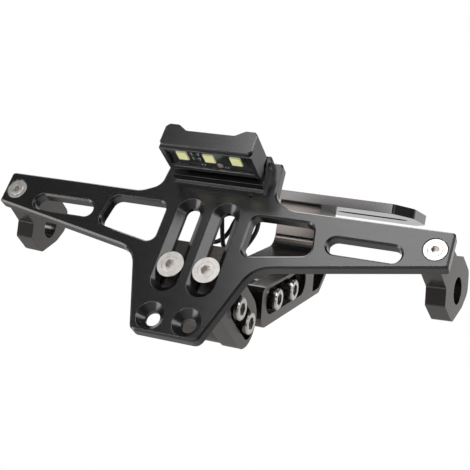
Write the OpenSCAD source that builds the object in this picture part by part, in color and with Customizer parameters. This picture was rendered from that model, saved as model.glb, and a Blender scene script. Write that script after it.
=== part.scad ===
// Adjustable tail tidy for a motorbike: a machined number plate frame on a tilting carrier and a sliding
// arm under a slotted mounting plate, with signal brackets and a folding number plate lamp.
// Frame: X to the right seen from behind the bike, Y towards the bike, Z up.
// The origin is the middle of the mounting plate's top face, where the bike's tail sits on it.

/* [Mounting plate] */
// Width across the bike
mount_w = 123; // [114:1:160]
// Length along the bike
mount_l = 56; // [46:1:80]
// Thickness of the mounting plate
mount_t = 5; // [4:0.5:8]
// Cut of each corner along the width
corner_a = 8; // [5:0.5:12]
// Cut of each corner along the length
corner_b = 12.5; // [8:0.5:16]
// Width of each mounting slot
mount_slot_w = 8; // [6.4:0.1:10]
// Distance between the middles of the two mounting slots
mount_slot_pitch = 72; // [64:1:76]
// Length of each mounting slot between its end centres
mount_slot_run = 30; // [20:1:34]

/* [Riser and hanger] */
// Width of the riser block and of the hanger
hanger_w = 23; // [20:0.5:26]
// Length of the riser block along the bike
hanger_l = 28; // [24:1:34]
// Height of the riser block
riser_h = 18; // [10:1:30]
// Bevel at the seam under the riser block
seam_bevel = 0.7; // [0.3:0.1:1.2]
// Radius between the hanger's front face and its tongue
hanger_fillet = 7; // [3:0.5:10]
// Height of the hanger's tongue
hanger_tongue_h = 17; // [15:0.5:18]
// Distance between the two bolts that hold the hanger
hanger_bolt_pitch = 14; // [12:0.5:16]

/* [Arm] */
// How far the tilt pivot lies in front of the mount's middle
pivot_forward = 115; // [105:1:130]
// How far the tilt pivot hangs below the mount's top face
pivot_drop = 67; // [64:1:70]
// Slope of the arm, rising towards the bike
arm_rise = 15; // [12:1:17]
// Thickness of the arm's cheek and of the carrier's cheek
cheek_t = 7.95; // [7:0.05:10]
// Height of the arm's cheek
arm_h = 19.1; // [18.6:0.1:22]
// How far the arm's lower edge lies below the pivot
arm_below = 8; // [7:0.5:9]
// Height of the extension bolts above the pivot's line
bolt_line = 3.2; // [2.4:0.1:3.4]
// From the pivot to the front edge of the cheek
cheek_front = 17.5; // [16.5:0.5:19]
// From the pivot to the cheek's pointed rear end
cheek_rear = 111.5; // [106:0.5:118]
// Height of that point above the pivot's line
cheek_point = 3.4; // [2:0.1:4.5]
// From the pivot to where the cheek's lower edge turns up towards that point
lower_turn = 96.4; // [94:0.1:100]
// From the pivot to where the cheek's upper edge turns down towards that point
upper_turn = 97; // [90:0.1:100]
// Thickness of the wall that joins the cheek to the front tongue
web_t = 4.3; // [3:0.1:4.3]
// Depth of the recesses for the bolt heads
recess_d = 3.6; // [3:0.1:4.4]
// Width of the recess in the arm's cheek
arm_recess_w = 12.9; // [11:0.1:14]
// From the pivot to the front end of that recess
arm_recess_front = 22.6; // [22:0.1:25]
// Length of that recess
arm_recess_l = 51.6; // [46:0.1:54]
// From the pivot to the front extension bolt
extension_bolt_at = 32.4; // [31.4:0.1:34]
// Distance between the two extension bolts
extension_pitch = 20.1; // [14:0.1:24]
// Start of the second recess, behind the pivot
pocket_from = 86; // [82:0.5:92]
// Rim left around the second recess
pocket_rim = 2.6; // [2:0.1:5]

/* [Carrier] */
// Distance from the number plate frame's back to the tilt pivot
carrier_reach = 25.9; // [25.5:0.1:30]
// Depth of the tilt pivot below the frame's top edge
pivot_below_top = 40.4; // [38:0.1:44]
// Radius of the carrier's round ends
lug_r = 11.6; // [11:0.1:13]
// Thickness of the carrier's front pad
pad_t = 5.2; // [4:0.1:5.4]
// Height of the pad above the carrier's cheek
pad_rise = 9.5; // [5:0.5:12]
// Width of the recess in the carrier's cheek
carrier_recess_w = 11.8; // [10.8:0.1:13]
// How far the pad reaches to the left of the middle
pad_left = 15; // [13:0.5:18]
// Distance from the tilt pivot to the locking bolt
lock_at = 13.7; // [12:0.1:14]
// Tilt that the locking slot allows each way, in degrees
tilt_limit = 3; // [1:0.5:3.5]

/* [Number plate frame] */
// Overall width of the frame
frame_w = 208; // [196:1:230]
// Thickness of the frame
frame_t = 5; // [4:0.5:6]
// Bevel along the frame's front edges
bevel = 0.85; // [0.5:0.05:1.1]
// How far the frame leans back from upright, in degrees
plate_lean = 25; // [22:1:28]
// Height of the wing tips
tip_h = 15.8; // [14.5:0.1:20]
// Depth of the wings where they meet the neck, below the top edge
wing_root = 29.1; // [28:0.1:31]
// Total depth of the frame below its top edge
frame_drop = 65; // [62:0.5:72]
// Half width of the neck where it starts
neck_top = 28; // [26:0.5:31]
// Half width of the neck at its foot
neck_foot = 15.2; // [14.8:0.1:20]
// Width of the metal left under each wing's opening
rim_low = 5.8; // [4:0.1:7]
// Height of the lamp tab above the top edge
tab_h = 22; // [20:0.5:26]
// Width of the lamp tab
tab_w = 51; // [46:0.5:56]
// Distance from the middle to each height slot, and to each lower hole
slot_x = 8.25; // [8:0.05:8.6]
// Top centre of the height slots, below the top edge
slot_top = 7.4; // [6.8:0.1:10]
// Bottom centre of the height slots, below the top edge
slot_bottom = 39.8; // [36:0.1:44]
// Height of the plate bolts, below the top edge
bolt_down = 33.4; // [30:0.1:36]
// Lower holes, below the top edge
hole_down = 57.6; // [55:0.1:58.4]
// Inner end centre of each wing slot, from the middle
wing_slot_in = 58.6; // [57:0.1:62]
// Outer end centre of each wing slot, from the middle
wing_slot_out = 81.6; // [76:0.1:84]
// Width of each wing slot
wing_slot_w = 7.5; // [6:0.1:8]
// Centre line of the wing slots, below the top edge
wing_slot_down = 13.4; // [13:0.1:14]
// Rim left along the top of the wings' openings
rim_top = 4.9; // [3.5:0.1:6]
// Inner edge of each opening, from the middle
opening_in = 20.2; // [19.5:0.1:22]
// Outer edge of each opening at its top, from the middle
opening_out = 47.2; // [44:0.1:48]

/* [Signal brackets] */
// Thickness of each signal bracket
signal_t = 8.3; // [7:0.1:10]
// Angle by which each bracket is swept outwards from straight back, in degrees
signal_sweep = 6; // [0:1:8]
// Bore for the turn signal's stem
signal_bore = 11.5; // [8:0.1:12]
// From the frame's end in to each bracket's outer face, at the frame
signal_in = 3.2; // [2:0.1:3.4]
// Distance from each bracket's screw to the frame's end
signal_screw_in = 6.4; // [6.2:0.05:6.8]
// Signal screws, below the top edge
signal_screw_down = 8.7; // [8:0.1:9.4]

/* [Lamp] */
// Width of the lamp
lamp_w = 42.4; // [38:0.2:46]
// Length of the lamp, standing out from the frame
lamp_l = 16.4; // [16:0.1:20]
// Height of the lamp's lower housing
housing_h = 5.3; // [5:0.1:8]
// Underside of the lamp above the frame's top edge
lamp_up = 8.3; // [7.5:0.1:9]
// Height of the cover's ends above the housing
cover_h = 6.6; // [5.6:0.1:8]
// How far the cover's middle lies below its ends
cover_dip = 2.7; // [1.5:0.1:3.4]
// Thickness of the cover's front wall
visor_t = 1.5; // [1.2:0.1:1.6]
// Height of the front wall's lower edge above the housing's underside
visor_up = 0.8; // [0:0.1:1.5]
// Width of the lamp's window
window_w = 38; // [34:0.5:39]
// Length of the lamp's window
window_l = 12.3; // [10:0.1:12.4]
// Lamp hinge in front of the frame
hinge_out = 3.7; // [3.6:0.1:4.4]
// Lamp hinge above the frame's top edge
hinge_up = 18; // [17.6:0.1:18.6]
// Distance between the light diodes
diode_pitch = 12.4; // [10:0.1:14]

/* [Lead] */
// Diameter of the lamp's lead
lead_d = 2; // [1.8:0.1:2.6]

/* [Hidden] */
$fn = 48;

// Standard fasteners: shank, head diameter, head height and hex socket across flats
M6_COUNTERSUNK = [6, 12.2, 3.1, 4];
M5_COUNTERSUNK = [5, 9.8, 2.4, 3];
M6_CAP = [6, 10, 6, 5];
cap_length = 16;
M3_COUNTERSUNK = [3, 5.4, 1.2, 2];
M2_COUNTERSUNK = [2, 3.6, 0.8, 1.3];
// Gaps: between sliding faces, around a shank in its thread, around a bolt in its clearance hole
slide_gap = 0.15;
thread_gap = 0.05;
bolt_gap = 0.25;
// Overlap of a cut past the face that it opens
past = 1;

black = [0.07, 0.07, 0.08];
steel = [0.78, 0.77, 0.74];
amber = [0.93, 0.87, 0.45];

// Places worked out from the driving dimensions
pivot = [0, -pivot_forward, -pivot_drop];
frame_origin = pivot - [0, -pivot_below_top * sin(plate_lean), -pivot_below_top * cos(plate_lean)]
    - (carrier_reach + frame_t) * [0, cos(plate_lean), -sin(plate_lean)];
arm_above = arm_h - arm_below;
cheek_inner = hanger_w / 2 + slide_gap;
cheek_outer = cheek_inner + cheek_t;
bolt_seat = cheek_outer - recess_d;
arm_slot_from = arm_recess_front + arm_recess_w / 2;
arm_slot_to = arm_recess_front + arm_recess_l - arm_recess_w / 2;
hinge_r = 2.6;
housing_front = hinge_out + 4.2 + lamp_l;
housing_rear = housing_front - lamp_l;
window_mid = (housing_front + housing_rear) / 2;
floor_t = 1;

// Points of an arc about c from angle a0 to a1
function arc(c, r, a0, a1, steps = 6) =
    [for (i = [0:steps]) c + r * [cos(a0 + (a1 - a0) * i / steps), sin(a0 + (a1 - a0) * i / steps)]];

// A polygon's corners rounded: each point is [x, y, radius]
function rounded(pts, steps = 6) =
    let (n = len(pts))
    [for (i = [0:n - 1])
        let (p = [pts[i].x, pts[i].y], r = pts[i].z,
            a = [pts[(i + n - 1) % n].x, pts[(i + n - 1) % n].y] - p,
            b = [pts[(i + 1) % n].x, pts[(i + 1) % n].y] - p,
            ua = a / norm(a), ub = b / norm(b),
            half = acos(max(-1, min(1, ua * ub))) / 2,
            centre = p + (ua + ub) / norm(ua + ub) * r / sin(half),
            t0 = p + ua * r / tan(half) - centre,
            t1 = p + ub * r / tan(half) - centre,
            a0 = atan2(t0.y, t0.x),
            turn = (atan2(t1.y, t1.x) - a0 + 540) % 360 - 180)
        each (r == 0 ? [p] : arc(centre, r, a0, a0 + turn, steps))];

// A closed outline, anticlockwise, with every edge moved inwards by d
function inset(pts, d) =
    let (n = len(pts))
    [for (i = [0:n - 1])
        let (p = pts[i], u = p - pts[(i + n - 1) % n], v = pts[(i + 1) % n] - p,
            nu = [-u.y, u.x] / norm(u), nv = [-v.y, v.x] / norm(v))
        p + (nu + nv) * d / (1 + nu * nv)];

function mirrored(pts) = [for (i = [len(pts) - 1:-1:0]) [-pts[i].x, pts[i].y, pts[i].z]];

// What a bevel takes off the top edge, at height h, of a closed outline that was extruded along Z
module bevel_ring(pts, h, b) {
    out = 0.1;
    n = len(pts);
    rings = [[inset(pts, b + out), h + out], [inset(pts, -out), h - b - out], [inset(pts, -out), h + out]];
    polyhedron(
        points = [for (ring = rings) for (p = ring[0]) [p.x, p.y, ring[1]]],
        faces = [for (k = [0:2]) for (i = [0:n - 1])
            [k * n + i, (k + 1) % 3 * n + i, (k + 1) % 3 * n + (i + 1) % n, k * n + (i + 1) % n]]);
}

// What a bevel takes off around an opening's mouth at height h
module mouth_bevel(pts, h, b) {
    out = 0.1;
    n = len(pts);
    rings = [[inset(pts, out), h - b - out], [inset(pts, -b - out), h + out]];
    polyhedron(
        points = [for (ring = rings) for (p = ring[0]) [p.x, p.y, ring[1]]],
        faces = concat([[for (i = [0:n - 1]) i]],
            [for (i = [0:n - 1]) [i, n + i, n + (i + 1) % n, (i + 1) % n]],
            [[for (i = [n - 1:-1:0]) n + i]]));
}

// Frame of the number plate frame: x right, y back from its front face, z up its face
module in_frame() { translate(frame_origin) rotate([-plate_lean, 0, 0]) children(); }

// Frame of the arm: x right, y along the arm towards the bike, z square to it, from the pivot
module in_arm() { translate(pivot) rotate([arm_rise, 0, 0]) children(); }

// Within the arm's frame: turned so that y runs square to the number plate frame
module towards_frame() { rotate([-arm_rise - plate_lean, 0, 0]) children(); }

// Extrudes a shape drawn in (y, z) along x, centred on x = 0
module across(w) { rotate([90, 0, 90]) linear_extrude(w, center = true) children(); }

// Extrudes a shape drawn in (y, z) along x from x0 to x1
module between(x0, x1) { translate([(x0 + x1) / 2, 0, 0]) across(x1 - x0) children(); }

// Puts a child along y, turned so that its own z points to +y
module backwards() { rotate([-90, 0, 0]) children(); }

// A slot along y in the face x = 0, cut towards -x
module side_slot(w, from, to, z, depth) {
    for (y = [from, to]) translate([0, y, z]) rotate([0, -90, 0]) translate([0, 0, -past])
        cylinder(d = w, h = depth + past);
    translate([-depth, from, z - w / 2]) cube([depth + past, to - from, w]);
}

module on_both_sides() {
    children();
    mirror([1, 0, 0]) children();
}

// A screw whose head face lies at z = 0 and whose shank runs down -z
module countersunk_screw(size, length) {
    d = size[0];
    head = size[1];
    cone = (head - d) / 2;
    difference() {
        rotate_extrude() polygon([[0, -length], [d / 2 - d * 0.12 - thread_gap, -length],
            [d / 2 - thread_gap, -length + d * 0.12], [d / 2 - thread_gap, -cone],
            [head * 0.49, cone - size[2] - head * 0.01], [head * 0.48, 0],
            [head * 0.31, 0], [head * 0.29, head * 0.015], [0, head * 0.015]]);
        translate([0, 0, -size[2] * 0.75]) cylinder(d = size[3] / cos(30), h = size[2] * 2, $fn = 6);
    }
}

// A socket cap screw: the head's seat lies at z = 0, the shank runs down -z
module cap_screw(size, length) {
    d = size[0];
    head = size[1];
    h = size[2];
    edge = head * 0.05;
    difference() {
        rotate_extrude() polygon([[0, -length], [d / 2 - d * 0.12 - thread_gap, -length],
            [d / 2 - thread_gap, -length + d * 0.12], [d / 2 - thread_gap, 0],
            [head / 2, 0], [head / 2, h - edge], [head / 2 - edge, h], [0, h]]);
        translate([0, 0, h - size[3] * 0.7]) cylinder(d = size[3] / cos(30), h = size[3], $fn = 6);
    }
}

// Countersink and clearance hole for a screw, opening at z = 0 and running down -z
module countersink(size, depth) {
    d = size[0] + 2 * bolt_gap;
    head = size[1] + 2 * bolt_gap;
    translate([0, 0, -depth]) cylinder(d = d, h = depth + past);
    translate([0, 0, -(head - d) / 2]) cylinder(d1 = d, d2 = head, h = (head - d) / 2);
    cylinder(d = head, h = past);
}

// Mounting plate

mount_outline = let (w = mount_w / 2, l = mount_l / 2, a = corner_a, b = corner_b)
    rounded([[-w, -l + b, 10], [-w + a, -l, 2], [w - a, -l, 2], [w, -l + b, 10],
        [w, l - b, 10], [w - a, l, 2], [-w + a, l, 2], [-w, l - b, 10]], 4);

module mounting_plate() {
    color(black) difference() {
        translate([0, 0, -mount_t]) linear_extrude(mount_t) polygon(mount_outline);
        for (side = [-1, 1]) {
            for (end = [-1, 1])
                translate([side * mount_slot_pitch / 2 + end * mount_slot_run / 2, 0, -mount_t - past])
                    cylinder(d = mount_slot_w, h = mount_t + 2 * past);
            translate([side * mount_slot_pitch / 2 - mount_slot_run / 2, -mount_slot_w / 2, -mount_t - past])
                cube([mount_slot_run, mount_slot_w, mount_t + 2 * past]);
            translate([0, side * hanger_bolt_pitch / 2, 0]) countersink(M6_COUNTERSUNK, mount_t + past);
        }
    }
}

// Riser block and hanger

riser_bottom = -mount_t - riser_h;

module riser_block() {
    l = hanger_l / 2;
    color(black) difference() {
        across(hanger_w) polygon([[-l, -mount_t], [-l, riser_bottom + seam_bevel],
            [-l + seam_bevel, riser_bottom], [l - seam_bevel, riser_bottom],
            [l, riser_bottom + seam_bevel], [l, -mount_t]]);
        for (side = [-1, 1])
            translate([0, side * hanger_bolt_pitch / 2, riser_bottom - past])
                cylinder(d = M6_COUNTERSUNK[0] + 2 * bolt_gap, h = riser_h + 2 * past);
    }
}

// Where the tongue's top edge meets the hanger's front face, as a height
function arm_line(y, z) = let (dy = y + pivot_forward)
    -pivot_drop + (dy * sin(arm_rise) + z) / cos(arm_rise);

// A point given along and square to the arm, as (y, z)
function on_arm(y, z) = [y * cos(arm_rise) - z * sin(arm_rise) - pivot_forward,
    y * sin(arm_rise) + z * cos(arm_rise) - pivot_drop];

hanger_tongue_top = arm_above;
hanger_tongue_low = hanger_tongue_top - hanger_tongue_h;
hanger_end_r = 6.5;
hanger_hole_depth = 12;
// Radius of the heel where the tongue's lower edge ends, and its place and height at the rear
heel_r = 4;
heel_run = 10;
heel_rise = 8;

module hanger() {
    l = hanger_l / 2;
    y0 = extension_bolt_at - hanger_end_r - 0.5;
    top_front = on_arm(y0, hanger_tongue_top);
    low_front = on_arm(y0, hanger_tongue_low);
    heel = l - heel_run;
    color(black) difference() {
        across(hanger_w) polygon(rounded([
            [-l + seam_bevel, riser_bottom, 0], [-l, riser_bottom - seam_bevel, 0],
            [-l, arm_line(-l, hanger_tongue_top), hanger_fillet],
            [top_front.x, top_front.y, hanger_end_r], [low_front.x, low_front.y, hanger_end_r],
            [heel, arm_line(heel, hanger_tongue_low), heel_r],
            [l, arm_line(l, hanger_tongue_low) + heel_rise, heel_r - 1],
            [l, riser_bottom - seam_bevel, 0], [l - seam_bevel, riser_bottom, 0]]));
        for (side = [-1, 1])
            translate([0, side * hanger_bolt_pitch / 2, riser_bottom - hanger_hole_depth])
                cylinder(d = M6_COUNTERSUNK[0], h = hanger_hole_depth + past);
        in_arm() for (y = [0, extension_pitch]) translate([0, extension_bolt_at + y, bolt_line])
            rotate([0, 90, 0]) cylinder(d = M6_CAP[0], h = hanger_w + 2 * past, center = true);
    }
}

module hanger_bolts() {
    color(steel) for (side = [-1, 1]) translate([0, side * hanger_bolt_pitch / 2, -0.25])
        countersunk_screw(M6_COUNTERSUNK, mount_t + riser_h + hanger_hole_depth - 2);
}

module extension_bolts() {
    color(steel) in_arm() for (y = [0, extension_pitch])
        translate([bolt_seat + slide_gap, extension_bolt_at + y, bolt_line])
            rotate([0, 90, 0]) cap_screw(M6_CAP, cap_length);
}

// Arm: a cheek that slides along the hanger's right side, and a tongue at the front

tongue_r = 10.8;
// How far the arm's wall stops short of the tongue's left face
wall_step = 0.6;
pocket_start = pocket_from - pocket_rim;
arm_cheek = rounded([[cheek_front, arm_above, 4], [cheek_front, -arm_below, 5], [lower_turn, -arm_below, 3],
    [cheek_rear, cheek_point, 2], [upper_turn, arm_above, 3]], 5);
arm_pocket = rounded([for (p = inset([[pocket_start, -arm_below], [lower_turn, -arm_below],
    [cheek_rear, cheek_point], [upper_turn, arm_above], [pocket_start, arm_above]],
    pocket_rim)) [p.x, p.y, 0.8]], 3);

module arm() {
    body_left = wall_step - hanger_w / 2;
    color(black) in_arm() difference() {
        union() {
            between(body_left, cheek_outer) polygon(arm_cheek);
            across(hanger_w) union() {
                circle(tongue_r);
                polygon([[0, tongue_r], [0, -arm_below], [cheek_front + 1, -arm_below + 1],
                    [cheek_front + 1, tongue_r]]);
                rotate(-arm_rise - plate_lean) polygon(rounded([[-lock_at - 4.6, 7, 3],
                    [-lock_at - 4.6, -7, 3], [0, -9.5, 0], [0, 9.5, 0]]));
            }
        }
        // Room for the hanger's tongue, open to the left behind the wall
        translate([body_left - past, cheek_front + web_t, -arm_below - past])
            cube([cheek_inner - body_left + past, cheek_rear, arm_h + 2 * past]);
        translate([cheek_outer, 0, 0]) {
            side_slot(arm_recess_w, arm_slot_from, arm_slot_to, bolt_line, recess_d);
            side_slot(M6_CAP[0] + 2 * bolt_gap, arm_slot_from, arm_slot_to, bolt_line, cheek_t + past);
            between(-recess_d, past) polygon(arm_pocket);
        }
        towards_frame() for (y = [0, -lock_at]) translate([0, y, 0])
            rotate([0, 90, 0]) cylinder(d = M6_CAP[0], h = hanger_w + 2 * past, center = true);
    }
}

module tilt_bolts() {
    color(steel) in_arm() towards_frame() for (y = [0, -lock_at])
        translate([bolt_seat + slide_gap, y, 0]) rotate([0, 90, 0]) cap_screw(M6_CAP, cap_length);
}

// Carrier: holds the frame on its pad, and its cheek tilts on the right side of the arm's tongue

module plate_carrier() {
    back = frame_t + slide_gap;
    py = frame_t + carrier_reach;
    pz = -pivot_below_top;
    top = pz + lug_r + pad_rise;
    recess_from = py - lock_at - 0.6;
    slot_play = lock_at * sin(tilt_limit);
    bolt_hole = M6_CAP[0] + 2 * bolt_gap;
    color(black) in_frame() difference() {
        between(-pad_left, cheek_outer) polygon(concat([[back, pz - lug_r]],
            arc([py, pz], lug_r, -90, 90, 16),
            arc([back + pad_t + 3, pz + lug_r + 3], 3, -90, -180, 4),
            arc([back + pad_t - 1.5, top - 1.5], 1.5, 0, 90, 4), [[back, top]]));
        // Space beside the cheek for the arm's tongue
        translate([-pad_left - past, back + pad_t, pz - lug_r - past])
            cube([pad_left + cheek_inner + past, py + lug_r, top - pz + lug_r + 2 * past]);
        translate([cheek_outer, 0, 0]) {
            side_slot(carrier_recess_w, recess_from, py + 4, pz, recess_d);
            translate([0, py, pz]) rotate([0, 90, 0])
                cylinder(d = bolt_hole, h = 2 * cheek_t + 2 * past, center = true);
            for (z = [-slot_play, slot_play]) translate([0, py - lock_at, pz + z]) rotate([0, 90, 0])
                cylinder(d = bolt_hole, h = 2 * cheek_t + 2 * past, center = true);
            translate([-cheek_t - past, py - lock_at - bolt_hole / 2, pz - slot_play])
                cube([cheek_t + 2 * past, bolt_hole, 2 * slot_play]);
        }
        for (side = [-1, 1]) translate([side * slot_x, back, -bolt_down]) backwards()
            cylinder(d = M6_COUNTERSUNK[0], h = pad_t + past);
    }
}

module plate_bolts() {
    color(steel) in_frame() for (side = [-1, 1])
        translate([side * slot_x, 0, -bolt_down]) backwards() rotate([180, 0, 0])
            countersunk_screw(M6_COUNTERSUNK, frame_t + pad_t - 0.2);
}

// Number plate frame

half_w = frame_w / 2;
wing_slope = (wing_root - tip_h) / (half_w - neck_top);

// Right half of the outline from the foot to the tab, as [x, z, radius]
frame_half = [[neck_foot, -frame_drop, 3.6], [neck_top, -wing_root, 12],
    [half_w, -tip_h, 1.2], [half_w, 0, 1.4], [35.5, 0, 10], [tab_w / 2 + 1.6, 4, 6],
    [tab_w / 2, tab_h, 2]];
frame_outline = rounded(concat(frame_half, mirrored(frame_half)), 7);

function opening_low(x) = -wing_root + (x - neck_top) * wing_slope + rim_low;
opening_half = [[opening_in, -rim_top, 3.4], [opening_in, opening_low(opening_in), 3.6],
    [opening_out + 2.6, opening_low(opening_out + 2.6), 4], [opening_out, -rim_top, 4]];
opening_outline = rounded(opening_half, 5);

// Cuts a slot with a bevelled mouth at y = 0 through the frame
module bevelled_slot(d, mouth, from, to) {
    depth = (mouth - d) / 2;
    for (p = [from, to]) translate([p[0], 0, p[1]]) backwards() {
        translate([0, 0, -past]) cylinder(d = d, h = frame_t + 2 * past);
        cylinder(d1 = mouth, d2 = d, h = depth);
        translate([0, 0, -past]) cylinder(d = mouth, h = past);
    }
    run = norm([to[0] - from[0], to[1] - from[1]]);
    turn = atan2(to[1] - from[1], to[0] - from[0]);
    translate([from[0], 0, from[1]]) rotate([0, -turn, 0]) rotate([0, 90, 0])
        rotate([0, 0, 90]) linear_extrude(run) polygon([[-past, -mouth / 2], [0, -mouth / 2],
            [depth, -d / 2], [frame_t + past, -d / 2], [frame_t + past, d / 2], [depth, d / 2],
            [0, mouth / 2], [-past, mouth / 2]]);
}

module number_plate_frame() {
    bolt_d = M6_COUNTERSUNK[0] + 2 * bolt_gap;
    bolt_mouth = M6_COUNTERSUNK[1] + 2 * bolt_gap;
    color(black) in_frame() difference() {
        rotate([90, 0, 0]) translate([0, 0, -frame_t]) linear_extrude(frame_t) polygon(frame_outline);
        rotate([90, 0, 0]) bevel_ring(frame_outline, 0, bevel);
        on_both_sides() rotate([90, 0, 0]) {
            translate([0, 0, -frame_t - past]) linear_extrude(frame_t + 2 * past) polygon(opening_outline);
            mouth_bevel(opening_outline, 0, bevel);
        }
        on_both_sides() {
            bevelled_slot(wing_slot_w, wing_slot_w + 2 * bevel, [wing_slot_in, -wing_slot_down],
                [wing_slot_out, -wing_slot_down]);
            bevelled_slot(bolt_d, bolt_mouth, [slot_x, -slot_bottom], [slot_x, -slot_top]);
            translate([slot_x, 0, -hole_down]) rotate([90, 0, 0])
                countersink(M6_COUNTERSUNK, frame_t + past);
            translate([half_w - signal_screw_in, 0, -signal_screw_down]) rotate([90, 0, 0])
                countersink(M5_COUNTERSUNK, frame_t + past);
            translate([base_screw_x, frame_t, base_screw_up]) backwards()
                countersink(M3_COUNTERSUNK, frame_t + past);
        }
        translate([drain_hole.x, frame_t + past, drain_hole.y]) rotate([90, 0, 0])
            cylinder(d = 1.6, h = frame_t + 2 * past);
        translate([grommet_x, frame_t + past, grommet_up]) rotate([90, 0, 0])
            cylinder(d = grommet_d, h = frame_t + 2 * past);
    }
}

// Signal brackets, drawn as (y, z) in the frame's own frame

signal_hub = [26.8, -9.2];
bracket_outline = rounded([[-3, -0.6, 0], [-3, -15.7, 0], [11.5, -16.4, 1], [15.8, -22.6, 1],
    [29.4, -22.6, 4], [38.1, -11, 8], [41.3, -2.4, 5], [36, 5.3, 4], [23.7, 5.3, 3], [14.7, 0.4, 2]], 4);

module signal_bracket() {
    difference() {
        translate([half_w - signal_in, frame_t, 0]) rotate([0, 0, -signal_sweep])
            translate([-signal_t / 2, 0, 0]) difference() {
                across(signal_t) polygon(bracket_outline);
                translate([0, signal_hub.x, signal_hub.y]) rotate([0, 90, 0])
                    cylinder(d = signal_bore, h = signal_t + 2 * past, center = true);
            }
        // Flat against the frame's back
        translate([half_w - 40, frame_t - 20, -40]) cube([80, 20, 80]);
        translate([half_w - signal_screw_in, frame_t, -signal_screw_down]) backwards()
            translate([0, 0, -past]) cylinder(d = M5_COUNTERSUNK[0], h = 9 + past);
    }
}

module signal_bracket_right() { color(black) in_frame() signal_bracket(); }
module signal_bracket_left() { color(black) in_frame() mirror([1, 0, 0]) signal_bracket(); }

module signal_screws() {
    color(steel) in_frame() on_both_sides()
        translate([half_w - signal_screw_in, 0.1, -signal_screw_down]) rotate([90, 0, 0])
            countersunk_screw(M5_COUNTERSUNK, frame_t + 7);
}

// Lamp, in the frame's own frame

base_t = 1.6;
base_half = lamp_w / 2;
base_low = 5.7;
base_screw_x = 14;
base_screw_up = 9;
drain_hole = [16, 3.7];
knuckle_w = 4.2;
grommet_x = -6;
grommet_up = 13;
grommet_d = 6;

module lamp_base() {
    color(black) in_frame() difference() {
        union() {
            across(2 * base_half) polygon([[0, base_low], [-0.8, base_low], [-0.8, 7.2],
                [-3.9, 7.6], [-3.4, 10.6], [-base_t, 12.4], [-base_t, hinge_up - 1], [0, hinge_up + 1]]);
            on_both_sides() translate([base_half - knuckle_w / 2, 0, 0]) across(knuckle_w) union() {
                translate([-hinge_out, hinge_up]) circle(3.7);
                polygon([[-hinge_out, hinge_up + 3.7], [-hinge_out - 2.6, hinge_up - 2.6],
                    [-3.2, 11], [0, 11], [0, hinge_up + 3.7]]);
            }
        }
        // Room for the lamp's own barrel between the knuckles
        translate([-base_half + knuckle_w, -hinge_out, hinge_up]) rotate([0, 90, 0])
            cylinder(r = hinge_r + 0.3, h = 2 * (base_half - knuckle_w));
        translate([0, -hinge_out, hinge_up]) rotate([0, 90, 0])
            cylinder(d = M3_COUNTERSUNK[0] + 2 * bolt_gap, h = 3 * base_half, center = true);
        on_both_sides() {
            translate([base_screw_x, past, base_screw_up]) rotate([90, 0, 0])
                cylinder(d = M3_COUNTERSUNK[0], h = 2.8 + past);
            translate([base_half, -hinge_out, hinge_up]) rotate([0, 90, 0])
                countersink(M3_COUNTERSUNK, knuckle_w);
        }
        translate([grommet_x, past, grommet_up]) rotate([90, 0, 0]) cylinder(d = lead_d + 1, h = 6);
    }
}

module lamp_base_screws() {
    color(steel) in_frame() on_both_sides() translate([base_screw_x, frame_t - 0.1, base_screw_up])
        backwards() countersunk_screw(M3_COUNTERSUNK, frame_t + 2.2);
}

module lamp_hinge_screws() {
    color(steel) in_frame() on_both_sides() translate([base_half - 0.2, -hinge_out, hinge_up])
        rotate([0, 90, 0]) countersunk_screw(M3_COUNTERSUNK, 10);
}

housing_top = lamp_up + housing_h;
cover_top = housing_top + cover_h;
board_low = lamp_up + 2;

module lamp_housing() {
    half = lamp_w / 2;
    color(black) in_frame() difference() {
        union() {
            across(lamp_w) polygon([[-housing_front + visor_t + 0.1, lamp_up], [-housing_rear, lamp_up],
                [-housing_rear + 0.9, lamp_up + 2], [-housing_rear, housing_top],
                [-housing_front + visor_t + 0.1, housing_top]]);
            across(2 * (base_half - knuckle_w) - 0.6) union() {
                translate([-hinge_out, hinge_up]) circle(hinge_r);
                polygon([[-housing_rear - 2, housing_top - 1], [-housing_rear + 0.3, housing_top - 1.5],
                    [-hinge_out + 1.2, hinge_up - 2.2], [-hinge_out, hinge_up + hinge_r],
                    [-housing_rear, housing_top + 2.6], [-housing_rear - 2, housing_top + 1]]);
            }
        }
        translate([-window_w / 2, -window_mid - window_l / 2, lamp_up - past])
            cube([window_w, window_l, housing_h - floor_t + past]);
        translate([0, -hinge_out, hinge_up]) rotate([0, 90, 0])
            cylinder(d = M3_COUNTERSUNK[0], h = lamp_w, center = true);
        on_both_sides() translate([cover_screw_x, -window_mid, housing_top - floor_t - past])
            cylinder(d = M2_COUNTERSUNK[0], h = floor_t + 2 * past);
    }
}

// The cover's end view: two raised ends with a lower middle, as [x, z, radius]
visor_low = lamp_up + visor_up;
cover_half = [[lamp_w / 2 - 1.4, visor_low, 0.6], [lamp_w / 2, visor_low + 1.6, 0.6],
    [lamp_w / 2, cover_top - 1.6, 0.8], [lamp_w / 2 - 1.6, cover_top, 1],
    [lamp_w / 2 - 5.8, cover_top, 2], [lamp_w / 2 - 10, cover_top - cover_dip, 3]];
cover_outline = rounded(concat(cover_half, mirrored(cover_half)), 5);
cover_screw_x = 17.2;
cover_rear = housing_rear + 1.2;

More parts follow.
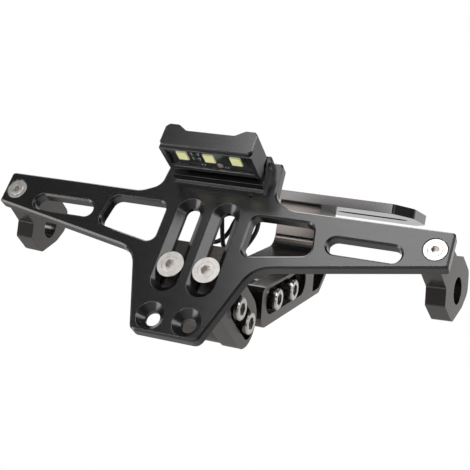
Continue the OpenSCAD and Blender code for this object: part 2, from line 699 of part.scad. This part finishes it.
module lamp_cover() {
    color(black) in_frame() difference() {
        rotate([90, 0, 0]) translate([0, 0, cover_rear])
            linear_extrude(housing_front - cover_rear) polygon(cover_outline);
        rotate([90, 0, 0]) bevel_ring(cover_outline, housing_front, 0.4);
        // The housing's own space under the cover and behind its front wall
        translate([-lamp_w, -housing_front + visor_t, lamp_up - past])
            cube([2 * lamp_w, lamp_l, housing_h + past + thread_gap]);
        translate([-base_half + knuckle_w + 0.1, -cover_rear - 2.2, lamp_up])
            cube([2 * (base_half - knuckle_w) - 0.2, 4, housing_h + 2.2]);
        on_both_sides() translate([cover_screw_x, -window_mid, cover_top])
            countersink(M2_COUNTERSUNK, cover_h + past);
    }
}

module lamp_cover_screws() {
    color(steel) in_frame() on_both_sides() translate([cover_screw_x, -window_mid, cover_top - 0.1])
        countersunk_screw(M2_COUNTERSUNK, cover_h + floor_t - 0.3);
}

module lamp_lens() {
    color([0.85, 0.88, 0.9, 0.35]) in_frame()
        translate([-window_w / 2 + thread_gap, -window_mid - window_l / 2 + thread_gap, lamp_up + 0.2])
            cube([window_w - 2 * thread_gap, window_l - 2 * thread_gap, 0.8]);
}

module lamp_board() {
    color([0.06, 0.09, 0.06]) in_frame()
        translate([-window_w / 2 + thread_gap, -window_mid - window_l / 2 + thread_gap, board_low])
            cube([window_w - 2 * thread_gap, window_l - 2 * thread_gap, housing_top - floor_t - board_low]);
}

module lamp_diodes() {
    color(amber) in_frame() for (i = [-1:1])
        translate([i * diode_pitch - 2.4, -window_mid - 3.4, board_low - 0.8]) cube([4.8, 5.4, 0.8]);
}

// Small resistors between the diodes: [x, y] of each middle
chip_places = [[-7.4, 2.6], [-4.8, 2.2], [-7, -0.6], [-5, -1.4], [-1.2, -4.6], [7.6, -4.2]];

module lamp_chips() {
    color([0.5, 0.5, 0.48]) in_frame() for (p = chip_places)
        translate([p.x - 0.8, -window_mid - p.y - 0.4, board_low - 0.5]) cube([1.6, 0.8, 0.5]);
}

// Lead: a thin two-core cable behind the frame, drawn in the frame's own frame as [x, y, z]
lead_route = [[-6, -1.2, 13], [-6, 3, 13], [-6, 8, 13], [-5.9, 12, 12.2], [-5.2, 16.5, 9.6],
    [-4, 19.5, 6], [-3, 20.3, 2.2], [-1.3, 20.3, -2.8], [0.5, 20, -7.2], [2.4, 19.8, -11.2],
    [5.4, 19.5, -14], [9.2, 19.5, -14], [12, 19.6, -11.6], [13.4, 20, -8], [14.6, 20, -3.8],
    [14.9, 20, -0.2], [14.2, 20.2, 3.4], [12.2, 21, 7.6], [8.8, 22.2, 10.4], [5.2, 23.2, 10],
    [2.9, 23.6, 7], [1.6, 23.8, 3.2], [0.9, 24, -1], [-0.6, 24.3, -4.6], [-3.2, 24.8, -7],
    [-6.6, 25.4, -7.6], [-9.8, 25.8, -6], [-11.8, 26, -2.6], [-12.4, 26, 1.6]];

function bezier_point(a, b, c, d, t) = let (s = 1 - t)
    a * s * s * s + b * 3 * s * s * t + c * 3 * s * t * t + d * t * t * t;

// A smooth curve through the route's points, with a few steps between each two
function smooth(route, steps) = let (n = len(route)) concat(
    [for (i = [0:n - 2])
        let (p0 = route[max(i - 1, 0)], p1 = route[i], p2 = route[i + 1], p3 = route[min(i + 2, n - 1)])
        for (k = [0:steps - 1])
            bezier_point(p1, p1 + (p2 - p0) / 6, p2 - (p3 - p1) / 6, p2, k / steps)],
    [route[n - 1]]);

// Unit vectors along a path, and side vectors carried along it without twist
function unit(v) = v / norm(v);
function along(path) = let (n = len(path))
    [for (i = [0:n - 1]) unit(path[min(i + 1, n - 1)] - path[max(i - 1, 0)])];
function carried(dirs, i, side) = i == len(dirs) ? [] :
    let (s = unit(side - dirs[i] * (side * dirs[i]))) concat([s], carried(dirs, i + 1, s));

module tube(path, d, sides = 8) {
    dirs = along(path);
    sidev = carried(dirs, 0, [1, 0, 0]);
    n = len(path);
    polyhedron(
        points = [for (i = [0:n - 1]) for (k = [0:sides - 1])
            path[i] + d / 2 * (cos(360 * k / sides) * sidev[i]
                + sin(360 * k / sides) * cross(dirs[i], sidev[i]))],
        faces = concat(
            [[for (k = [0:sides - 1]) k]],
            [for (i = [0:n - 2]) for (k = [0:sides - 1])
                [i * sides + k, (i + 1) * sides + k, (i + 1) * sides + (k + 1) % sides,
                    i * sides + (k + 1) % sides]],
            [[for (k = [sides - 1:-1:0]) (n - 1) * sides + k]]));
}

module lead_grommet() {
    color([0.05, 0.05, 0.05]) in_frame() translate([grommet_x, 0, grommet_up]) backwards()
        rotate_extrude() polygon([[lead_d / 2 + thread_gap, 0], [grommet_d / 2 - thread_gap, 0],
            [grommet_d / 2 - thread_gap, frame_t], [grommet_d / 2 + 1, frame_t],
            [grommet_d / 2 + 0.6, frame_t + 1.2], [lead_d / 2 + thread_gap, frame_t + 1.4]]);
}

module lead() {
    color([0.04, 0.04, 0.04]) in_frame() tube(smooth(lead_route, 2), lead_d);
}

// Two thin cores that stand out of the lead's cut end
module lead_cores() {
    path = smooth(lead_route, 2);
    n = len(path);
    tip = path[n - 1];
    dir = unit(tip - path[n - 2]);
    side = unit(cross(dir, [0, 1, 0]));
    for (i = [0, 1]) {
        s = 2 * i - 1;
        color(i == 0 ? [0.6, 0.08, 0.06] : [0.06, 0.06, 0.06]) in_frame()
            tube([tip + side * s * 0.48, tip + side * s * 0.55 + dir * 3,
                tip + side * s * 1.1 + dir * (6 + i)], 0.8, 8);
    }
}

mounting_plate();
riser_block();
hanger();
hanger_bolts();
extension_bolts();
arm();
tilt_bolts();
plate_carrier();
plate_bolts();
number_plate_frame();
signal_bracket_left();
signal_bracket_right();
signal_screws();
lamp_base();
lamp_base_screws();
lamp_hinge_screws();
lamp_housing();
lamp_cover();
lamp_cover_screws();
lamp_lens();
lamp_board();
lamp_diodes();
lamp_chips();
lead_grommet();
lead();
lead_cores();
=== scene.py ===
import math

import bmesh
import bpy
from mathutils import Matrix, Vector


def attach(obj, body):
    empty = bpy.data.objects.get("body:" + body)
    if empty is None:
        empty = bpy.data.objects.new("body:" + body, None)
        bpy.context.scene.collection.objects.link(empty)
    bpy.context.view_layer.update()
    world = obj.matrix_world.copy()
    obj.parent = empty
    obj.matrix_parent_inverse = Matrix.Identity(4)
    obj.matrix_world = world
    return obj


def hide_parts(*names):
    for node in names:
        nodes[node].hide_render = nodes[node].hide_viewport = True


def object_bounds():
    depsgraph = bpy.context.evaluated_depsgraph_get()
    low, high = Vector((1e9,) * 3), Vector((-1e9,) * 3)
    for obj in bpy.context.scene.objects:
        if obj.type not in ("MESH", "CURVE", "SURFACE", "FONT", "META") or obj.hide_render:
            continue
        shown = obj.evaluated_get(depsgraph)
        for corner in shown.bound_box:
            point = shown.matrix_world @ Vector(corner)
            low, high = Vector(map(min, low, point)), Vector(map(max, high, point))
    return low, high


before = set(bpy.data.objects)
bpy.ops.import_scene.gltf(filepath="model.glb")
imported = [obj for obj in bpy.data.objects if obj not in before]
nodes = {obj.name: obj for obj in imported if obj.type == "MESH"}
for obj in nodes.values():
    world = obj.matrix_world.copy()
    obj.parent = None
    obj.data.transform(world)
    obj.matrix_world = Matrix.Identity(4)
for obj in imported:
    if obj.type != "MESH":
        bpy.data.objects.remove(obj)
cad_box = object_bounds()
MM = 0.001

# Camera, fitted to the photograph
CAMERA_AT = Vector((0.1726, -0.5057, -0.0464))
CAMERA_RIGHT = Vector((0.9112, 0.3774, 0.1652))
CAMERA_FORWARD = Vector((-0.3881, 0.9210, 0.0371))
FOCAL_LENGTH = 74.88

# The frame's own axes: x right, y back from its front face, z up its face
LEAN = math.radians(25)
TURN = Matrix.Rotation(-LEAN, 4, "X")
FRAME_AT = Vector((0, -0.125931, -0.017326))
TO_FRAME = Matrix.Translation(FRAME_AT) @ TURN

# Route of the lamp's lead in the frame's own axes, in millimetres
LEAD_DIAMETER = 2.0 * MM
LEAD_ROUTE = [
    (-6, -1.2, 13), (-6, 3, 13), (-6, 8, 13), (-5.9, 12, 12.2), (-5.2, 16.5, 9.6),
    (-4, 19.5, 6), (-3, 20.3, 2.2), (-1.3, 20.3, -2.8), (0.5, 20, -7.2), (2.4, 19.8, -11.2),
    (5.4, 19.5, -14), (9.2, 19.5, -14), (12, 19.6, -11.6), (13.4, 20, -8), (14.6, 20, -3.8),
    (14.9, 20, -0.2), (14.2, 20.2, 3.4), (12.2, 21, 7.6), (8.8, 22.2, 10.4), (5.2, 23.2, 10),
    (2.9, 23.6, 7), (1.6, 23.8, 3.2), (0.9, 24, -1), (-0.6, 24.3, -4.6), (-3.2, 24.8, -7),
    (-6.6, 25.4, -7.6), (-9.8, 25.8, -6), (-11.8, 26, -2.6), (-12.4, 26, 1.6),
]


# Materials


def new_material(name):
    """A material with a Principled shader, its node tree and that shader."""
    material = bpy.data.materials.new(name)
    material.use_nodes = True
    tree = material.node_tree
    return material, tree, tree.nodes["Principled BSDF"]


def add_node(tree, kind, **inputs):
    """A new node with the given input values; underscores in names stand for spaces."""
    made = tree.nodes.new(kind)
    for key, value in inputs.items():
        made.inputs[key.replace("_", " ")].default_value = value
    return made


def object_coordinates(tree, scale):
    """Object coordinates scaled along x, y and z."""
    place = tree.nodes.new("ShaderNodeTexCoord")
    mapping = add_node(tree, "ShaderNodeMapping", Scale=scale)
    tree.links.new(place.outputs["Object"], mapping.inputs["Vector"])
    return mapping.outputs["Vector"]


def noise(tree, scale, stretch=(1, 1, 1), detail=4):
    """A noise pattern; scale is in waves per metre."""
    made = add_node(tree, "ShaderNodeTexNoise", Scale=scale, Detail=detail)
    tree.links.new(object_coordinates(tree, stretch), made.inputs["Vector"])
    return made.outputs["Fac"]


def ramp(tree, value, low, high, from_value, to_value):
    """value mapped from low..high onto from_value..to_value."""
    made = tree.nodes.new("ShaderNodeMapRange")
    made.inputs["From Min"].default_value = low
    made.inputs["From Max"].default_value = high
    made.inputs["To Min"].default_value = from_value
    made.inputs["To Max"].default_value = to_value
    tree.links.new(value, made.inputs["Value"])
    return made.outputs["Result"]


def edge_mask(tree, radius):
    """1 along the edges of a solid and 0 on its faces."""
    rounded = tree.nodes.new("ShaderNodeBevel")
    rounded.samples = 6
    rounded.inputs["Radius"].default_value = radius
    geometry = tree.nodes.new("ShaderNodeNewGeometry")
    dot = tree.nodes.new("ShaderNodeVectorMath")
    dot.operation = "DOT_PRODUCT"
    tree.links.new(rounded.outputs["Normal"], dot.inputs[0])
    tree.links.new(geometry.outputs["Normal"], dot.inputs[1])
    return ramp(tree, dot.outputs["Value"], 0.995, 0.9, 0, 1), rounded.outputs["Normal"]


def mix_colour(tree, factor, a, b):
    """Colour a where the factor is 0 and b where it is 1."""
    made = tree.nodes.new("ShaderNodeMix")
    made.data_type = "RGBA"
    made.inputs[6].default_value = a
    made.inputs[7].default_value = b
    tree.links.new(factor, made.inputs["Factor"])
    return made.outputs[2]


def bump(tree, height, strength, distance, normal=None):
    """A surface normal with a fine relief, on top of another normal if one is given."""
    made = add_node(tree, "ShaderNodeBump", Strength=strength, Distance=distance)
    tree.links.new(height, made.inputs["Height"])
    if normal is not None:
        tree.links.new(normal, made.inputs["Normal"])
    return made.outputs["Normal"]


def anodised(name, along, roughness=(0.19, 0.25), ior=1.75, tint=(1, 1, 1)):
    """Black anodised metal with fine milling lines along one axis, and edges painted lighter: a painted edge
    highlight, patchy like wear.
    """
    material, tree, shader = new_material(name)
    stretch = [14.0, 14.0, 14.0]
    stretch["xyz".index(along)] = 0.6
    lines = noise(tree, 260, stretch, 3)
    grain = noise(tree, 5200, (1, 1, 1), 2)
    cloud = noise(tree, 24, (1, 1, 1), 3)
    edge, soft_normal = edge_mask(tree, 0.25 * MM)
    base = mix_colour(tree, ramp(tree, cloud, 0.3, 0.7, 0, 1), (0.0055, 0.0055, 0.006, 1),
                      (0.0085, 0.0085, 0.0088, 1))
    # Lighter edges: a painted edge highlight, broken up by noise like wear
    edge_wear_and_highlight = tree.nodes.new("ShaderNodeMix")
    edge_wear_and_highlight.data_type = "RGBA"
    edge_wear_and_highlight.inputs[7].default_value = (0.17, 0.168, 0.165, 1)
    wear_and_highlight_amount = tree.nodes.new("ShaderNodeMath")
    wear_and_highlight_amount.operation = "MULTIPLY"
    tree.links.new(edge, wear_and_highlight_amount.inputs[0])
    tree.links.new(ramp(tree, noise(tree, 900, (1, 1, 1), 4), 0.42, 0.62, 0.2, 0.8), wear_and_highlight_amount.inputs[1])
    tree.links.new(wear_and_highlight_amount.outputs[0], edge_wear_and_highlight.inputs["Factor"])
    tree.links.new(base, edge_wear_and_highlight.inputs[6])
    tree.links.new(edge_wear_and_highlight.outputs[2], shader.inputs["Base Color"])
    tree.links.new(ramp(tree, lines, 0.3, 0.7, *roughness), shader.inputs["Roughness"])
    lined = bump(tree, lines, 0.04, 0.02 * MM, soft_normal)
    tree.links.new(bump(tree, grain, 0.06, 0.01 * MM, lined), shader.inputs["Normal"])
    shader.inputs["IOR"].default_value = ior
    shader.inputs["Specular Tint"].default_value = (*tint, 1)
    return material


def stainless(name, roughness):
    """Bright stainless steel with fine turning marks."""
    material, tree, shader = new_material(name)
    fine = noise(tree, 3800, (1, 1, 1), 3)
    edge, soft_normal = edge_mask(tree, 0.12 * MM)
    tone = mix_colour(tree, ramp(tree, noise(tree, 420), 0.35, 0.65, 0, 1), (0.62, 0.60, 0.57, 1),
                      (0.74, 0.72, 0.69, 1))
    tree.links.new(tone, shader.inputs["Base Color"])
    tree.links.new(ramp(tree, fine, 0.3, 0.7, *roughness), shader.inputs["Roughness"])
    tree.links.new(bump(tree, fine, 0.1, 0.01 * MM, soft_normal), shader.inputs["Normal"])
    shader.inputs["Metallic"].default_value = 1.0
    return material


def plastic(name, low, high, roughness=(0.4, 0.55), scale=900):
    """A moulded or painted surface whose colour and gloss vary slightly."""
    material, tree, shader = new_material(name)
    pattern = noise(tree, scale)
    tree.links.new(mix_colour(tree, ramp(tree, pattern, 0.35, 0.65, 0, 1), (*low, 1), (*high, 1)),
                   shader.inputs["Base Color"])
    tree.links.new(ramp(tree, pattern, 0.3, 0.7, *roughness), shader.inputs["Roughness"])
    tree.links.new(bump(tree, pattern, 0.08, 0.02 * MM), shader.inputs["Normal"])
    return material


def clear_window(name):
    """The lamp's clear window, with a faint smear in its gloss."""
    material, tree, shader = new_material(name)
    smear = noise(tree, 160, (1, 3, 1), 3)
    tree.links.new(ramp(tree, smear, 0.3, 0.7, 0.0, 0.03), shader.inputs["Roughness"])
    shader.inputs["Base Color"].default_value = (0.93, 0.95, 0.97, 1)
    shader.inputs["Transmission Weight"].default_value = 1.0
    shader.inputs["IOR"].default_value = 1.25
    return material


def paint_glow(material, colour, strength):
    """Paints a faint glow onto small parts behind the window that are no lamps: painted light that makes
    them show brighter.
    """
    shader = material.node_tree.nodes["Principled BSDF"]
    shader.inputs["Emission Color"].default_value = (*colour, 1)
    shader.inputs["Emission Strength"].default_value = strength


def dress(name, material):
    """Gives a CAD node one material."""
    mesh = nodes[name].data
    mesh.materials.clear()
    mesh.materials.append(material)


ALONG_X = anodised("anodised_x", "x")
ALONG_Y = anodised("anodised_y", "y", ior=1.85, tint=(1, 0.91, 0.85))
LAMP_BLACK = anodised("anodised_lamp", "x", (0.20, 0.26), 2.0)
STEEL = stainless("stainless", (0.34, 0.48))
BRIGHT_STEEL = stainless("bright_stainless", (0.14, 0.24))
BOARD = plastic("board", (0.003, 0.004, 0.004), (0.010, 0.011, 0.010), (0.45, 0.6), 1400)
PHOSPHOR = plastic("phosphor", (0.80, 0.78, 0.36), (0.92, 0.90, 0.50), (0.3, 0.45), 2600)
CHIP = plastic("chip", (0.020, 0.020, 0.020), (0.045, 0.044, 0.042), (0.3, 0.5), 3000)
RUBBER = plastic("rubber", (0.008, 0.008, 0.008), (0.014, 0.014, 0.014), (0.55, 0.7), 2000)
SHEATH = plastic("sheath", (0.009, 0.009, 0.0095), (0.016, 0.016, 0.0165), (0.3, 0.42), 1500)
RED = plastic("red_core", (0.30, 0.012, 0.01), (0.38, 0.02, 0.015), (0.35, 0.45), 1500)
RIM = plastic("diode_rim", (0.55, 0.55, 0.40), (0.66, 0.66, 0.50), (0.4, 0.55), 2600)
TIN = plastic("tin", (0.66, 0.66, 0.64), (0.86, 0.86, 0.84), (0.25, 0.4), 3000)
CAN = plastic("capacitor", (0.30, 0.26, 0.23), (0.44, 0.39, 0.35), (0.3, 0.45), 3000)
WINDOW = clear_window("window")
# Painted light: the unlit diodes' phosphor glows, and the tin gets a painted glint
paint_glow(PHOSPHOR, (0.9, 0.86, 0.42), 0.3)
paint_glow(TIN, (1, 1, 0.94), 0.3)

for name in ("number_plate_frame", "mounting_plate", "lamp_base"):
    dress(name, ALONG_X)
for name in ("riser_block", "hanger", "arm", "plate_carrier", "signal_bracket_left", "signal_bracket_right"):
    dress(name, ALONG_Y)
for name in ("lamp_housing", "lamp_cover"):
    dress(name, LAMP_BLACK)
for name in nodes:
    if name.endswith("_bolts") or name.endswith("_screws"):
        dress(name, STEEL)
for name in ("extension_bolts", "tilt_bolts"):
    dress(name, BRIGHT_STEEL)
dress("lamp_hinge_screws", LAMP_BLACK)
dress("lamp_board", BOARD)
dress("lamp_lens", WINDOW)
dress("lead_grommet", RUBBER)
dress("lead_cores", RED)


# The lamp's board: diodes and small parts that stand on it, in the frame's own axes in millimetres

BOARD_FACE = 10.3
DIODE_PITCH = 12.4
DIODE_WIDE = 4.8
DIODE_LONG = 5.4
DIODE_HIGH = 0.8
DIODE_REAR = -19.5
DIODE_RIM = 0.45
DIODE_SUNK = 0.12
SMALL_PART_HIGH = 0.5

# Middle x and y, half length and half width of each resistor
RESISTORS = [
    (-6.2, -18.5, 1.9, 0.8), (-6.4, -15.1, 1.8, 0.8), (-4.3, -11.2, 0.8, 0.4), (6.6, -11.0, 0.8, 0.4),
]
CAPACITOR = (3.5, -11.7)
CAPACITOR_RADII = (1.0, 1.4)


def block(shape, low, high, edge, material):
    """A box with bevelled edges and one material, added to a bmesh."""
    made = bmesh.ops.create_cube(shape, size=1)["verts"]
    for corner in made:
        corner.co = Vector((a if c < 0 else b) for c, a, b in zip(corner.co, low, high))
    edges = list({e for corner in made for e in corner.link_edges})
    bevelled = bmesh.ops.bevel(shape, geom=edges, offset=edge, segments=2, affect="EDGES", profile=0.5)
    faces = {f for corner in made if corner.is_valid for f in corner.link_faces} | set(bevelled["faces"])
    for face in faces:
        face.material_index = material


def lamp_piece(name, shape, materials, node):
    """A piece from a bmesh in the frame's own axes, which rides on the lamp and stands for a CAD node."""
    mesh = bpy.data.meshes.new(name)
    bmesh.ops.recalc_face_normals(shape, faces=shape.faces)
    shape.to_mesh(mesh)
    shape.free()
    mesh.transform(TO_FRAME @ Matrix.Scale(MM, 4))
    for material in materials:
        mesh.materials.append(material)
    made = bpy.data.objects.new(name, mesh)
    bpy.context.scene.collection.objects.link(made)
    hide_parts(node)
    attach(made, "lamp")


def diodes():
    """Three diodes: a pale rim around a slightly sunk field of yellow phosphor."""
    shape = bmesh.new()
    for x in (-DIODE_PITCH, 0, DIODE_PITCH):
        block(shape, (x - DIODE_WIDE / 2, DIODE_REAR, BOARD_FACE - DIODE_HIGH),
              (x + DIODE_WIDE / 2, DIODE_REAR + DIODE_LONG, BOARD_FACE), 0.12, 1)
    shape.faces.ensure_lookup_table()
    fields = [f for f in shape.faces if f.normal.z < -0.99 and f.calc_area() > 10]
    bmesh.ops.inset_individual(shape, faces=fields, thickness=DIODE_RIM, depth=-DIODE_SUNK)
    for face in fields:
        face.material_index = 0
    lamp_piece("diode_fields", shape, (PHOSPHOR, RIM), "lamp_diodes")


def small_parts():
    """Resistors with tinned ends and one low round capacitor."""
    shape = bmesh.new()
    top = BOARD_FACE - SMALL_PART_HIGH
    for x, y, long, wide in RESISTORS:
        end = long * 0.36
        block(shape, (x - long + end, y - wide, top + 0.02), (x + long - end, y + wide, BOARD_FACE), 0.06, 0)
        for left in (x - long, x + long - end):
            block(shape, (left, y - wide, top), (left + end, y + wide, BOARD_FACE), 0.06, 1)
    can = bmesh.ops.create_cone(shape, cap_ends=True, segments=32, radius1=CAPACITOR_RADII[0],
                                radius2=CAPACITOR_RADII[1], depth=SMALL_PART_HIGH)
    for corner in can["verts"]:
        corner.co += Vector((*CAPACITOR, BOARD_FACE - SMALL_PART_HIGH / 2))
    for face in {f for corner in can["verts"] for f in corner.link_faces}:
        face.material_index = 2
    lamp_piece("small_parts", shape, (CHIP, TIN, CAN), "lamp_chips")


diodes()
small_parts()


# The lead


def smooth_curve(name, points, diameter):
    """A curve of one open spline through the points, with a round section."""
    curve = bpy.data.curves.new(name, "CURVE")
    curve.dimensions = "3D"
    curve.bevel_depth = diameter / 2
    curve.bevel_resolution = 5
    curve.resolution_u = 8
    spline = curve.splines.new("BEZIER")
    spline.bezier_points.add(len(points) - 1)
    for i, at in enumerate(points):
        before = points[max(i - 1, 0)]
        after = points[min(i + 1, len(points) - 1)]
        step = (after - before) / 6
        point = spline.bezier_points[i]
        point.co = at
        point.handle_left = at - step
        point.handle_right = at + step
    curve.use_fill_caps = True
    made = bpy.data.objects.new(name, curve)
    bpy.context.scene.collection.objects.link(made)
    return made


lead_points = [TO_FRAME @ (Vector(p) * MM) for p in LEAD_ROUTE]
lead = smooth_curve("lamp_lead", lead_points, LEAD_DIAMETER)
lead.data.materials.append(SHEATH)
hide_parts("lead")
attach(lead, "frame")


# Stage, light and camera


def shown_background(tree):
    """1 where a ray shows the background itself: straight from the camera, or through the window."""
    path = tree.nodes.new("ShaderNodeLightPath")
    either = tree.nodes.new("ShaderNodeMath")
    either.operation = "MAXIMUM"
    tree.links.new(path.outputs["Is Camera Ray"], either.inputs[0])
    tree.links.new(path.outputs["Is Transmission Ray"], either.inputs[1])
    return either.outputs[0]


def light_panel(name, at, towards, width, height, power, colour=(1, 1, 1)):
    """A soft rectangular light at one place, facing another."""
    light = bpy.data.lights.new(name, "AREA")
    light.shape = "RECTANGLE"
    light.size = width
    light.size_y = height
    light.energy = power
    light.color = colour
    made = bpy.data.objects.new(name, light)
    made.location = at
    made.rotation_euler = (Vector(towards) - Vector(at)).to_track_quat("-Z", "Y").to_euler()
    bpy.context.scene.collection.objects.link(made)


def pale_floor(height, half):
    """A floor that the camera sees as plain white and that lights the object faintly from below."""
    mesh = bpy.data.meshes.new("floor")
    made = bpy.data.objects.new("floor", mesh)
    shape = bmesh.new()
    bmesh.ops.create_grid(shape, x_segments=1, y_segments=1, size=half)
    shape.to_mesh(mesh)
    shape.free()
    made.location = (0, 0, height)
    bpy.context.scene.collection.objects.link(made)
    material, tree, shader = new_material("pale_floor")
    shader.inputs["Base Color"].default_value = (0.82, 0.82, 0.82, 1)
    shader.inputs["Roughness"].default_value = 0.9
    shader.inputs["Emission Color"].default_value = (1, 0.98, 0.96, 1)
    shader.inputs["Emission Strength"].default_value = 0.14
    glow = tree.nodes.new("ShaderNodeEmission")
    mixed = tree.nodes.new("ShaderNodeMixShader")
    tree.links.new(shown_background(tree), mixed.inputs[0])
    tree.links.new(shader.outputs[0], mixed.inputs[1])
    tree.links.new(glow.outputs[0], mixed.inputs[2])
    tree.links.new(mixed.outputs[0], tree.nodes["Material Output"].inputs["Surface"])
    mesh.materials.append(material)


def white_surround(dim, bright, towards):
    """A white background for the camera, and for all else a surround that is brightest towards one side."""
    world = bpy.data.worlds.new("surround")
    bpy.context.scene.world = world
    world.use_nodes = True
    tree = world.node_tree
    shown = tree.nodes["Background"]
    shown.inputs["Color"].default_value = (1, 1, 1, 1)
    around = tree.nodes.new("ShaderNodeBackground")
    place = tree.nodes.new("ShaderNodeTexCoord")
    dot = tree.nodes.new("ShaderNodeVectorMath")
    dot.operation = "DOT_PRODUCT"
    dot.inputs[1].default_value = Vector(towards).normalized()
    tree.links.new(place.outputs["Generated"], dot.inputs[0])
    level = ramp(tree, dot.outputs["Value"], 0.6, 0.95, dim, bright)
    tree.links.new(level, around.inputs["Strength"])
    mixed = tree.nodes.new("ShaderNodeMixShader")
    tree.links.new(shown_background(tree), mixed.inputs[0])
    tree.links.new(around.outputs[0], mixed.inputs[1])
    tree.links.new(shown.outputs[0], mixed.inputs[2])
    tree.links.new(mixed.outputs[0], tree.nodes["World Output"].inputs["Surface"])


# The panels are placed by what each face of the metal mirrors, seen from the camera
MIDDLE = (0, -0.08, -0.03)
FLOOR_DROP = 0.8
pale_floor(cad_box[0][2] - FLOOR_DROP, 2.2)
white_surround(0.11, 1.3, (-0.25, 0.96, 0.03))
light_panel("key", (0.045, -0.70, 0.87), MIDDLE, 0.88, 0.60, 5.2)
light_panel("front", (-0.22, -1.14, 0.17), MIDDLE, 1.0, 0.40, 6.2, (1, 0.965, 0.955))
light_panel("low_left", (-0.80, -0.66, -0.46), MIDDLE, 0.5, 0.5, 2.3, (1, 0.97, 0.94))
light_panel("high_right", (0.90, -0.32, 0.60), MIDDLE, 0.42, 0.42, 1.5)
light_panel("right", (1.10, -0.25, 0.04), MIDDLE, 0.5, 0.5, 0.9)
light_panel("left", (-1.10, -0.20, 0.04), MIDDLE, 0.5, 0.5, 0.7)
light_panel("back", (-0.40, 0.80, 0.75), MIDDLE, 0.6, 0.5, 1.6)

camera = bpy.data.cameras.new("camera")
camera.sensor_width = 36
camera.lens = FOCAL_LENGTH
camera.clip_start = 0.01
viewer = bpy.data.objects.new("camera", camera)
bpy.context.scene.collection.objects.link(viewer)
right = CAMERA_RIGHT.normalized()
back = -CAMERA_FORWARD.normalized()
up = back.cross(right).normalized()
right = up.cross(back)
viewer.matrix_world = Matrix.Translation(CAMERA_AT) @ Matrix((right, up, back)).transposed().to_4x4()
bpy.context.scene.camera = viewer
bpy.context.scene.view_settings.view_transform = "Standard"
